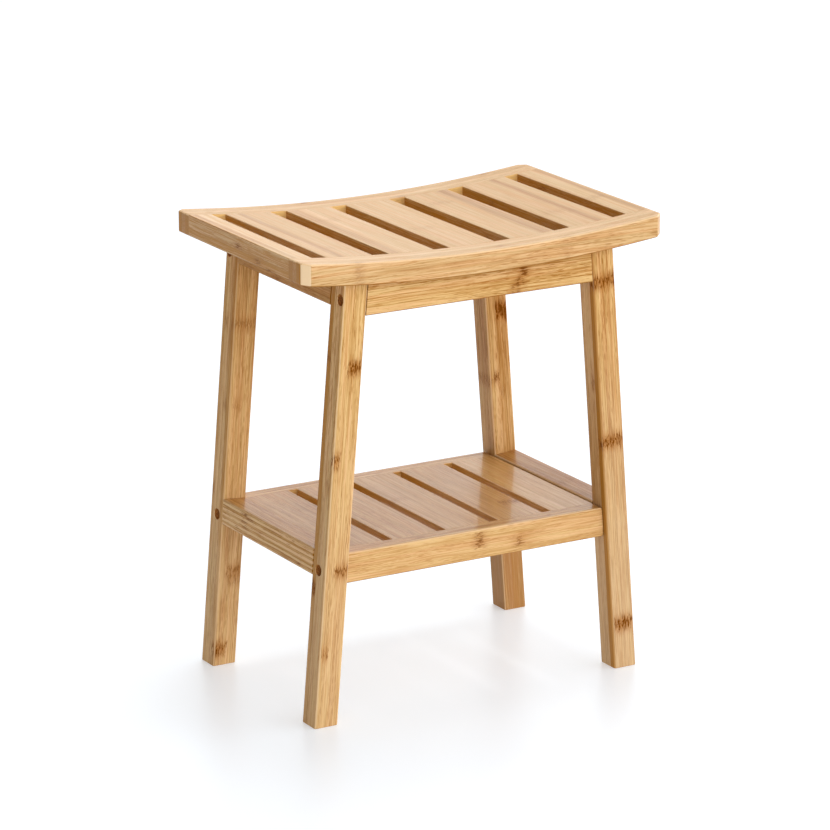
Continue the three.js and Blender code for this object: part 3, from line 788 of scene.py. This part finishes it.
SEAT_WOOD = {
    # Front rail: painted light on its top, painted shade and brown shade on its ends, painted highlight on
    # its cut corners.
    "seat_front_rail": dict(
        seed=3.1, plies=(0.0, 0.1, -0.02, 0.06), ply=7.5, first_ply=-130.5, tint=0.36,
        painted_shading=((ACROSS, 1, -0.3), (ALONG, -1, 0.5), (ALONG, 1, 0.3)), corner_highlight=0.95,
        figure=(1.05, 0.6), painted_side_colour=((ALONG, -1, 0.4), (ALONG, 1, 0.2)),
        knots=((0, -141.0, 0.3), (0, 88.0, 0.15), (1, 20.0, 0.3)),
    ),
    # Back rail: painted light on its top and slot ends, painted shade and brown shade on its ends, painted
    # highlight on corners.
    "seat_back_rail": dict(
        seed=7.7, plies=(0.06, 0.0, 0.1, 0.03), ply=7.5, first_ply=100.2, tint=0.48,
        painted_shading=((ACROSS, 1, -0.3), (ALONG, -1, 0.4), (ALONG, 1, 0.3), (THROUGH, -1, -0.85)),
        painted_side_colour=((ALONG, -1, 0.5), (ALONG, 1, 0.2), (THROUGH, -1, 0.75, GOLDEN_LIGHT)),
        figure=(1.0, 0.6), corner_highlight=0.3,
        knots=((3, -60.0, 0.5), (3, 150.0, 0.4), (0, 40.0, 0.3)),
    ),
    # Left end board: painted shade and brown shade on its outer end, painted brown shade on its slot wall.
    "seat_end_board_left": dict(
        seed=1.3, plies=(0.12, 0.24, 0.0, 0.08), ply=6.1, first_ply=-23.7, tint=0.2, strip=13.0,
        painted_shading=((ACROSS, -1, 0.14),), painted_side_colour=((ACROSS, 1, 0.75), (ACROSS, -1, 0.6)), figure=(0.42, 2.3),
        knots=((2, -1.0, 0.9), (1, -40.0, 0.6), (0, -62.0, 0.9)),
    ),
    # Right end board: painted shade on its outer end, painted brown shade on its slot wall.
    "seat_end_board_right": dict(
        seed=5.9, plies=(0.1, 0.2, 0.1, 0.0), ply=6.1, first_ply=-23.7, tint=0.22, strip=13.0,
        painted_shading=((ACROSS, 1, 0.3),), painted_side_colour=((ACROSS, -1, 0.8),),
        knots=((3, -30.0, 0.2), (2, 50.0, 0.5)),
    ),
}
# Seed, tint, and the place and strength of the knot on top of each slat, from left to right.
SEAT_SLATS = (
    (11.0, 0.3, -62.0, 0.14), (13.7, 0.23, 48.0, 0.16), (17.1, 0.3, -20.0, 0.14),
    (19.9, 0.33, 58.0, 0.16), (23.3, 0.26, -44.0, 0.14),
)
for number, (seed, tint, place, strength) in enumerate(SEAT_SLATS, 1):
    SEAT_WOOD[f"seat_slat_{number}"] = dict(
        seed=seed, plies=(0.2, 0.12, 0.2, 0.0), ply=6.1, first_ply=-23.7, tint=tint, strip=25.0,
        # Painted brown shade on the slot walls.
        painted_side_colour=((ACROSS, -1, 0.7), (ACROSS, 1, 0.7)),
        knots=((3, place, strength, -8.0, 14.0), (2, -place, 0.4), (1, place / 2, 0.4)),
    )


def seat_rail(name, face):
    outer_y, cut_y = face * SEAT_HALF_DEPTH, face * (SEAT_HALF_DEPTH - SEAT_CORNER_CUT)
    inner_y, cut_x = face * SEAT_INNER, HALF_LENGTH - SEAT_CORNER_CUT
    outline = [
        (-HALF_LENGTH, inner_y), (-HALF_LENGTH, cut_y), (-cut_x, outer_y),
        (cut_x, outer_y), (HALF_LENGTH, cut_y), (HALF_LENGTH, inner_y),
    ]
    mesh = prism(outline, "Z", SEAT_TOP - SEAT_THICKNESS, SEAT_TOP)
    soften(mesh, SEAT_ROUNDING, lambda at, way: not near(at.y, inner_y))
    soften(mesh, JOINT_ROUNDING, lambda at, way: runs(way, X) and near(at.y, inner_y), FINE_STEPS)
    bend(mesh)
    origin = (0, 0, SEAT_TOP - SEAT_THICKNESS / 2)
    wooden(mesh, name, "seat_bamboo", SEAT_WOOD[name], (X, Z, Y), origin)


def seat_board(name):
    low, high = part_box(name)
    end = SEAT_INNER - SEAM
    mesh = block((low.x, -end, SEAT_TOP - SEAT_THICKNESS), (high.x, end, SEAT_TOP))
    soften(mesh, SLOT_ROUNDING, lambda at, way: runs(way, Y) and not near(abs(at.x), HALF_LENGTH))
    soften(mesh, SEAT_ROUNDING, lambda at, way: runs(way, Y) and near(abs(at.x), HALF_LENGTH))
    bend(mesh)
    middle_x = (low.x + high.x) / 2
    origin = (middle_x, 0, SEAT_TOP - dished(middle_x))
    wooden(mesh, name, "seat_bamboo", SEAT_WOOD[name], (Y, X, Z), origin)


for face_name, face in FACES:
    seat_rail(f"seat_{face_name}_rail", face)
for name in [n for n in SEAT_WOOD if "rail" not in n]:
    seat_board(name)

# ---- Legs and crossbars ----

# Painted shade on the legs' sides: how much darker, and how much brown.
LEG_SIDES_SHADE = 0.05
LEG_SIDES_SHADE_BROWN = 0.1
TURNED_ROUND = ("leg_back_right",)  # its plies lie one behind the other along the seat
# Each leg gets painted light from the floor on its lower part.
LEG_WOOD = {
    "leg_front_left": dict(
        seed=2.2, plies=(0.05, 0.0, -0.08, 0.4), ply=6.6, first_ply=-15.6, tint=0.37, floor_bounce=0.35,
        paling=(145.0, 95.0, 0.7),
        knots=(
            (0, 357.0, 1.0, 5.0, 8.0), (0, 352.0, 0.6, 2.0, 7.0), (0, 267.0, 0.9, -9.0, 5.0),
            (0, 261.0, 0.5, -10.0, 4.0), (0, 156.0, 0.9, 5.0, 9.0), (0, 74.0, 0.7, -8.0, 5.0),
            (3, 138.0, 1.0), (3, 133.0, 0.7), (3, 362.0, 0.8), (1, 240.0, 0.3),
        ),
    ),
    "leg_front_right": dict(
        seed=4.9, plies=(0.52, -0.24, -0.22, -0.1), ply=7.6, first_ply=-13.4, tint=0.48, floor_bounce=0.6,
        darker_along=((330.0, 210.0, 0.22),),
        knots=(
            (0, 406.0, 0.9), (0, 402.0, 0.6), (0, 241.0, 0.9), (0, 237.0, 0.4), (0, 48.0, 0.9, 1.0, 12.0),
            (0, 44.0, 0.5, 1.0, 9.0), (1, 300.0, 0.5),
        ),
    ),
    # Along this leg: paler near the floor as painted light, darker near the top as painted shade under the
    # seat.
    "leg_back_left": dict(
        seed=8.3, plies=(0.28, -0.06, -0.08, 0.12), ply=6.6, first_ply=-13.2, tint=0.42, floor_bounce=0.3,
        darker_along=((230.0, 90.0, -0.06), (300.0, 380.0, 0.1)), paling=(200.0, 60.0, 0.6),
        knots=(
            (0, 351.0, 0.5), (0, 267.0, 0.3, -4.0, 6.0), (0, 98.0, 0.7, 5.0, 10.0), (0, 88.0, 0.3, 5.0, 8.0),
            (0, 18.0, 0.9, -6.0, 8.0), (0, 13.0, 0.5, -7.0, 7.0),
            (2, 352.0, 0.6), (1, 268.0, 0.5), (3, 180.0, 0.6),
        ),
    ),
    # Along this leg: darker near the top as painted shade under the apron, and darker towards the foot.
    "leg_back_right": dict(
        seed=6.4, plies=(-0.1, -0.2, 0.14, 0.06, 0.14), ply=6.6, first_ply=-14.6, tint=0.22, floor_bounce=0.2,
        darker_along=((200.0, 110.0, 1.0), (225.0, 290.0, 0.4)),
        knots=(
            (2, 329.0, 1.0), (3, 329.0, 1.0), (2, 325.0, 1.0), (3, 324.0, 1.0), (2, 321.0, 1.0),
            (3, 320.0, 1.0), (1, 256.0, 0.9), (0, 252.0, 0.5), (2, 240.0, 0.4),
        ),
    ),
}


def counterbore(level, corner, side):
    """The stepped hole for one bolt, with its mouth eased."""
    _, middle, _ = along_leg(f"{level}_bolt_{corner}", side)
    profile = [
        (-CUTTER_EXCESS, 0),
        (-CUTTER_EXCESS, COUNTERBORE_RADIUS + COUNTERBORE_EASE + CUTTER_EXCESS),
        (COUNTERBORE_EASE, COUNTERBORE_RADIUS),
        (COUNTERBORE_DEPTH, COUNTERBORE_RADIUS),
        (COUNTERBORE_DEPTH, BOLT_RADIUS + BOLT_PLAY),
        (LEG_SIDE + CUTTER_EXCESS, BOLT_RADIUS + BOLT_PLAY),
        (LEG_SIDE + CUTTER_EXCESS, 0),
    ]
    return turned(profile, (side * HALF_LEG, middle.y, middle.z), (-side, 0, 0))


def leg(corner, side, face):
    name = f"leg_{corner}"
    low, _, high = along_leg(name, side)
    y = face * LEG_AXIS_Y
    mesh = block((-HALF_LEG, y - HALF_LEG, low.z), (HALF_LEG, y + HALF_LEG, high.z))
    for vertex in mesh.verts:
        if vertex.co.z < high.z / 2:
            vertex.co.z = -side * vertex.co.x * math.tan(LEG_TILT)
    soften(mesh, LEG_ROUNDING, lambda at, way: runs(way, Z), LEG_STEPS)
    soften(mesh, FOOT_ROUNDING, lambda at, way: abs(at.z) < FOOT_HEIGHT and not runs(way, Z), FINE_STEPS)
    is_turned = name in TURNED_ROUND
    axes = (Z, Y, X) if is_turned else (Z, X, Y)
    end_axis = THROUGH if is_turned else ACROSS
    # Painted shade on the turned leg's sides, painted light on the others', painted brown shade on all.
    darker = LEG_SIDES_SHADE if is_turned else -LEG_SIDES_SHADE
    material = bamboo(
        name, "frame_bamboo", painted_shading=((end_axis, -1, darker), (end_axis, 1, darker)),
        painted_side_colour=((end_axis, -1, LEG_SIDES_SHADE_BROWN), (end_axis, 1, LEG_SIDES_SHADE_BROWN)), **LEG_WOOD[name],
    )
    made = object_of(mesh, name + "_fine", material, end_frame(side))
    cut(made, [counterbore(level, corner, side) for level in LEVELS], bore_shade_lining)
    for polygon in made.data.polygons:
        if abs(polygon.center.x) > HALF_LEG - COUNTERBORE_EASE:
            polygon.material_index = 0  # the eased mouths of the holes are lacquered
    finish_wood(made, name, axes, (0, y, 0))


CROSSBAR_WOOD = {
    "left_shelf_crossbar": dict(
        seed=12.1, plies=(0.02, 0.32, -0.12, 0.3, -0.04, 0.34, -0.16, 0.32, -0.08, 0.28), ply=2.65,
        # Painted shade on its top.
        tint=-0.1, painted_shading=((THROUGH, 1, 0.5),), figure=(1.0, 2.1), shine=0.6,
        knots=((8, 44.0, 0.8), (7, 39.0, 0.8), (5, 50.0, 0.6), (3, 44.0, 0.6), (1, -66.0, 0.7)),
    ),
    "right_shelf_crossbar": dict(
        seed=14.5, plies=(0.16, 0.05, 0.2, 0.0), ply=6.6, tint=0.4, knots=((3, -25.0, 0.3), (1, 40.0, 0.5)),
    ),
    "left_top_crossbar": dict(
        seed=15.8, plies=(0.14, 0.2, 0.12, 0.16), ply=6.6, tint=0.45, figure=(0.7, 0.8),
        knots=((0, 12.0, 0.5),),
    ),
    "right_top_crossbar": dict(
        seed=18.2, plies=(0.2, 0.1, 0.22, 0.1), ply=6.6, tint=0.6, knots=((1, -22.0, 0.5),),
    ),
}


def screw_pocket(corner, side, bottom):
    """The hole that sinks a seat screw's head into the underside of a crossbar."""
    low, middle, _ = along_leg(f"seat_screw_{corner}", side)
    top = low.z + SCREW_HEAD_HEIGHT + POCKET_PLAY - bottom + POCKET_EXCESS
    profile = [
        (0, 0), (0, POCKET_RADIUS + POCKET_EXCESS), (POCKET_EXCESS + POCKET_EASE, POCKET_RADIUS),
        (top, POCKET_RADIUS), (top, 0),
    ]
    return turned(profile, (middle.x, middle.y, bottom - POCKET_EXCESS), Z)


def crossbar(side_name, side, level):
    name = f"{side_name}_{level}_crossbar"
    low, middle, high = along_leg(name, side)
    end = LEG_AXIS_Y - HALF_LEG - SEAM
    mesh = block((-HALF_LEG, -end, low.z), (HALF_LEG, end, high.z))
    soften(mesh, RAIL_ROUNDING, lambda at, way: runs(way, Y))
    finish = "shelf_bamboo" if level == "shelf" else "frame_bamboo"
    material = bamboo(name, finish, first_ply=-13.3, **CROSSBAR_WOOD[name])
    made = object_of(mesh, name + "_fine", material, end_frame(side))
    if level == "top":
        pockets = [screw_pocket(f"{face_name}_{side_name}", side, low.z) for face_name, _ in FACES]
        cut(made, pockets, bore_shade_lining)
    finish_wood(made, name, (Y, X, Z), (0, 0, middle.z))


for side_name, side in SIDES:
    for face_name, face in FACES:
        leg(f"{face_name}_{side_name}", side, face)
    for level in LEVELS:
        crossbar(side_name, side, level)

# ---- Aprons and shelf ----

APRON_WOOD = {
    "front_apron": dict(
        seed=21.4, plies=(-0.08, 0.06, -0.08, 0.12), tint=0.3, figure=(1.05, 1.45),
        knots=((0, 38.0, 0.7), (1, 42.0, 0.9), (2, 46.0, 0.9), (3, 48.0, 1.0)),
    ),
    "back_apron": dict(
        seed=25.6, plies=(0.06, 0.0, 0.14, 0.05), tint=0.44,
        knots=((1, -70.0, 0.6), (2, -66.0, 0.6), (0, 80.0, 0.5)),
    ),
}
SHELF_WOOD = {
    "shelf_front_rail": dict(
        seed=31.2, plies=(0.0, 0.12, 0.05), ply=6.4, first_ply=-9.1, tint=0.3,
        figure=(0.85, 1.3), knots=((0, 3.0, 0.8, 4.0, 9.0), (0, 47.0, 0.7, -4.0, 6.0), (1, -60.0, 0.4)),
    ),
    "shelf_back_rail": dict(
        seed=33.8, plies=(0.05, 0.12, 0.0), ply=6.4, first_ply=-9.1, tint=0.36,
        knots=((2, -90.0, 0.4), (2, 75.0, 0.3), (0, 10.0, 0.3)),
    ),
}
# Seed, tint, and the place, strength and middle of the knot on top of each slat, from left to right.
SHELF_SLATS = (
    (41.0, 0.58, 30.0, 0.1, 0.0), (43.1, 0.52, -50.0, 0.15, -10.0), (45.7, 0.5, 13.0, 0.3, -16.0),
    (47.9, 0.46, -48.0, 0.7, 15.0), (49.3, 0.33, 30.0, 0.12, 0.0),
)
for number, (seed, tint, place, strength, middle) in enumerate(SHELF_SLATS, 1):
    SHELF_WOOD[f"shelf_slat_{number}"] = dict(
        seed=seed, plies=(0.18, 0.0), ply=7.0, first_ply=-13.2, tint=tint, strip=25.5,
        # Painted brown shade on the slot walls.
        painted_side_colour=((ACROSS, -1, 0.8), (ACROSS, 1, 0.8)),
        knots=((1, place, strength, middle, 12.0), (0, -place, 0.4)),
    )


def apron(name):
    """A board between the legs whose top follows the underside of the seat."""
    low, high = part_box(name)
    outline = [(low.x, low.z), (high.x, low.z)]
    top_half = high.x - (high.z - low.z) * math.tan(LEG_TILT)
    for i in range(APRON_STEPS + 1):
        x = top_half * (1 - 2 * i / APRON_STEPS)
        outline.append((x, SEAT_TOP - dished(x) - SEAT_THICKNESS - SEAM))
    mesh = prism(outline, "Y", low.y, high.y)
    soften(mesh, RAIL_ROUNDING, lambda at, way: runs(way, X) and near(at.z, low.z))
    middle = (low + high) / 2
    wood = dict(ply=8.4, first_ply=-16.8, **APRON_WOOD[name])
    wooden(mesh, name, "frame_bamboo", wood, (X, Y, Z), (0, middle.y, middle.z))


def shelf_rail(name):
    low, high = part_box(name)
    lean = (high.z - low.z) * math.tan(LEG_TILT)
    outline = [(low.x, low.z), (high.x, low.z), (high.x - lean, high.z), (low.x + lean, high.z)]
    mesh = prism(outline, "Y", low.y, high.y)
    inner, outer = sorted((low.y, high.y), key=abs)
    soften(mesh, SHELF_END_ROUNDING, lambda at, way: runs(way, Y))
    soften(mesh, RAIL_ROUNDING, lambda at, way: near(at.y, outer))
    soften(mesh, JOINT_ROUNDING, lambda at, way: runs(way, X) and near(at.y, inner), FINE_STEPS)
    middle = (low + high) / 2
    wooden(mesh, name, "shelf_bamboo", SHELF_WOOD[name], (X, Z, Y), (0, middle.y, middle.z))


def shelf_slat(name):
    low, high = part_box(name)
    inner = -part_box("shelf_front_rail")[1].y
    mesh = block((low.x, -inner + SEAM, low.z), (high.x, inner - SEAM, high.z))
    soften(mesh, SLOT_ROUNDING, lambda at, way: runs(way, Y))
    origin = ((low.x + high.x) / 2, 0, high.z)
    wooden(mesh, name, "shelf_bamboo", SHELF_WOOD[name], (Y, X, Z), origin)


for name in APRON_WOOD:
    apron(name)
for name in SHELF_WOOD:
    if "rail" in name:
        shelf_rail(name)
    else:
        shelf_slat(name)

# ---- Bolts, inserts and screws ----

zinc = metal("zinc_plated_steel", (0.52, 0.5, 0.46), 0.38, 900.0)
turned_brass = metal("turned_brass", (0.62, 0.43, 0.18), 0.36, 700.0)


def cut_mesh(name, mesh, cutters):
    """The mesh data of a metal part after cutting, to be used by objects."""
    made = object_of(mesh, name, zinc)
    cut(made, cutters, zinc)
    data = made.data
    bpy.data.objects.remove(made)
    return data


def bolt_mesh():
    """A socket-head bolt with its head's outer face at the origin, running along +Z."""
    profile = [
        (0, 0), (0, BOLT_HEAD_RADIUS - BOLT_CROWN_WIDTH), (BOLT_CROWN, BOLT_HEAD_RADIUS - BOLT_EASE),
        (BOLT_EASE, BOLT_HEAD_RADIUS), (BOLT_HEAD_HEIGHT, BOLT_HEAD_RADIUS), (BOLT_HEAD_HEIGHT, BOLT_RADIUS),
        (BOLT_LENGTH - BOLT_EASE, BOLT_RADIUS), (BOLT_LENGTH, BOLT_RADIUS - BOLT_EASE), (BOLT_LENGTH, 0),
    ]
    angles = [math.tau * i / 6 for i in range(6)]
    hexagon = [(BOLT_SOCKET_RADIUS * math.cos(a), BOLT_SOCKET_RADIUS * math.sin(a)) for a in angles]
    socket = prism(hexagon, "Z", -CUTTER_EXCESS, BOLT_SOCKET_DEPTH)
    return cut_mesh("bolt_pattern", turned(profile, (0, 0, 0), Z), [socket])


def screw_mesh(length):
    """A countersunk wood screw with a crossed recess, its head's face at the origin, running along +Z."""
    profile = [
        (0, 0), (0, SCREW_HEAD_RADIUS - SCREW_HEAD_EASE_RADIUS), (SCREW_HEAD_EASE_HEIGHT, SCREW_HEAD_RADIUS),
        (SCREW_HEAD_HEIGHT, SCREW_SHANK_RADIUS), (SCREW_THREAD_STARTS, SCREW_SHANK_RADIUS),
    ]
    z = SCREW_THREAD_STARTS
    while z < length - SCREW_TIP:
        for part, radius in SCREW_THREAD:
            profile.append((z + SCREW_PITCH * part, radius))
        z += SCREW_PITCH
    profile.append((length, 0))
    arms = ((SCREW_RECESS_ARM, SCREW_RECESS_HALF_WIDTH), (SCREW_RECESS_HALF_WIDTH, SCREW_RECESS_ARM))
    recess = [block((-x, -y, -CUTTER_EXCESS), (x, y, SCREW_RECESS_DEPTH)) for x, y in arms]
    return cut_mesh("screw_pattern", turned(profile, (0, 0, 0), Z, SCREW_SIDES), recess)


def put(data, node, place, direction, side):
    """Another of a turned part, its face at place and running along direction, in an end frame."""
    made = linked(node + "_fine", data)
    turn = Z.rotation_difference(Vector(direction)).to_matrix().to_4x4()
    made.matrix_world = end_frame(side) @ Matrix.Translation(place) @ turn
    adopt(made, node)
    return made


def put_bolt(data, node, side):
    low, middle, high = along_leg(node, side)
    outer_x = high.x if side > 0 else low.x
    put(data, node, (outer_x, middle.y, middle.z), (-side, 0, 0), side)


def put_screw(node, side):
    low, middle, high = along_leg(node, side)
    made = put(screw_mesh(high.z - low.z), node, (middle.x, middle.y, low.z), Z, side)
    smooth_shade(made)


bolt_data = bolt_mesh()
for side_name, side in SIDES:
    for face_name, _ in FACES:
        corner = f"{face_name}_{side_name}"
        for level in LEVELS:
            put_bolt(bolt_data, f"{level}_bolt_{corner}", side)
            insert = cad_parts[f"{level}_insert_{corner}"]
            insert.data.materials.clear()
            insert.data.materials.append(turned_brass)
        put_screw(f"seat_screw_{corner}", side)
# The bolts share one mesh, so one of them is smoothed for all.
smooth_shade(bpy.data.objects["top_bolt_front_left_fine"])

# ---- Stage: floor, light and camera ----

FLOOR_HALF, FLOOR_THICKNESS = 9, 0.02
FLOOR_LOOK = {
    "Base Color": (0.56, 0.61, 0.665, 1),
    "Emission Color": (1, 1, 1, 1),
    "Emission Strength": 0.425,
    "Roughness": 0.36,
    "Specular IOR Level": 0.5,
}
SKY_BRIGHT_SIDE = tuple(Vector((0.8, -0.55, 0)).normalized())
SKY_MEAN, SKY_CHANGE, SKY_DIMMING = 1.55, 1.55, 1.0

LIGHT_PLACE = Vector((0.2, 0.34, 2.3))
LIGHT_TARGET = Vector((0, 0, 0.2))
LIGHT_LENGTH, LIGHT_DEPTH = 0.35, 0.9
LIGHT_WATTS = 19

CAMERA_AZIMUTH = math.radians(-30.52)
CAMERA_ELEVATION = math.radians(16.247)
CAMERA_DISTANCE = 4.1946
CAMERA_TARGET = Vector((-0.00433, 0, 0.259))
CAMERA_ROLL = math.radians(0.076)
CAMERA_LENS = 184.34
CAMERA_SENSOR = 36
CAMERA_REACH = 60


def lay_floor():
    material, shader, _ = new_material("floor")
    for socket, value in FLOOR_LOOK.items():
        shader.inputs[socket].default_value = value
    slab = block((-FLOOR_HALF, -FLOOR_HALF, -FLOOR_THICKNESS), (FLOOR_HALF, FLOOR_HALF, 0))
    floor = object_of(slab, "floor", material)


def studio_sky():
    """White all round: brightest at the front right, dim on the left and overhead."""
    world = bpy.data.worlds.new("studio")
    bpy.context.scene.world = world
    world.use_nodes = True
    background = world.node_tree.nodes["Background"]
    build = Tree(world.node_tree)
    direction = build.add("TexCoord").outputs["Generated"]
    height = build.split(direction)[2]
    toward = build.add("VectorMath", {0: direction, 1: SKY_BRIGHT_SIDE}, operation="DOT_PRODUCT")
    around = build.plus(SKY_MEAN, toward.outputs["Value"], SKY_CHANGE)
    overhead = build.times(height, height)
    build.feed(background.inputs["Strength"], build.times(around, build.rest(overhead, SKY_DIMMING)))
    background.inputs["Color"].default_value = (1, 1, 1, 1)


def key_light():
    light = bpy.data.lights.new("key", "AREA")
    light.shape = "RECTANGLE"
    light.size = LIGHT_LENGTH
    light.size_y = LIGHT_DEPTH
    light.energy = LIGHT_WATTS
    made = linked("key", light)
    made.location = LIGHT_PLACE
    made.rotation_euler = (LIGHT_TARGET - LIGHT_PLACE).to_track_quat("-Z", "Y").to_euler()


def aim_camera():
    """A long lens that looks at the front and the left end, a little from above."""
    data = bpy.data.cameras.new("camera")
    data.lens = CAMERA_LENS
    data.sensor_width = CAMERA_SENSOR
    data.clip_end = CAMERA_REACH
    camera = linked("camera", data)
    back = Vector((
        math.sin(CAMERA_AZIMUTH) * math.cos(CAMERA_ELEVATION),
        -math.cos(CAMERA_AZIMUTH) * math.cos(CAMERA_ELEVATION),
        math.sin(CAMERA_ELEVATION),
    ))
    place = Matrix.Translation(CAMERA_TARGET + back * CAMERA_DISTANCE)
    aim = (-back).to_track_quat("-Z", "Y").to_matrix().to_4x4()
    camera.matrix_world = place @ aim @ Matrix.Rotation(CAMERA_ROLL, 4, "Z")
    bpy.context.scene.camera = camera


lay_floor()
studio_sky()
key_light()
aim_camera()
bpy.context.scene.view_settings.view_transform = "Standard"
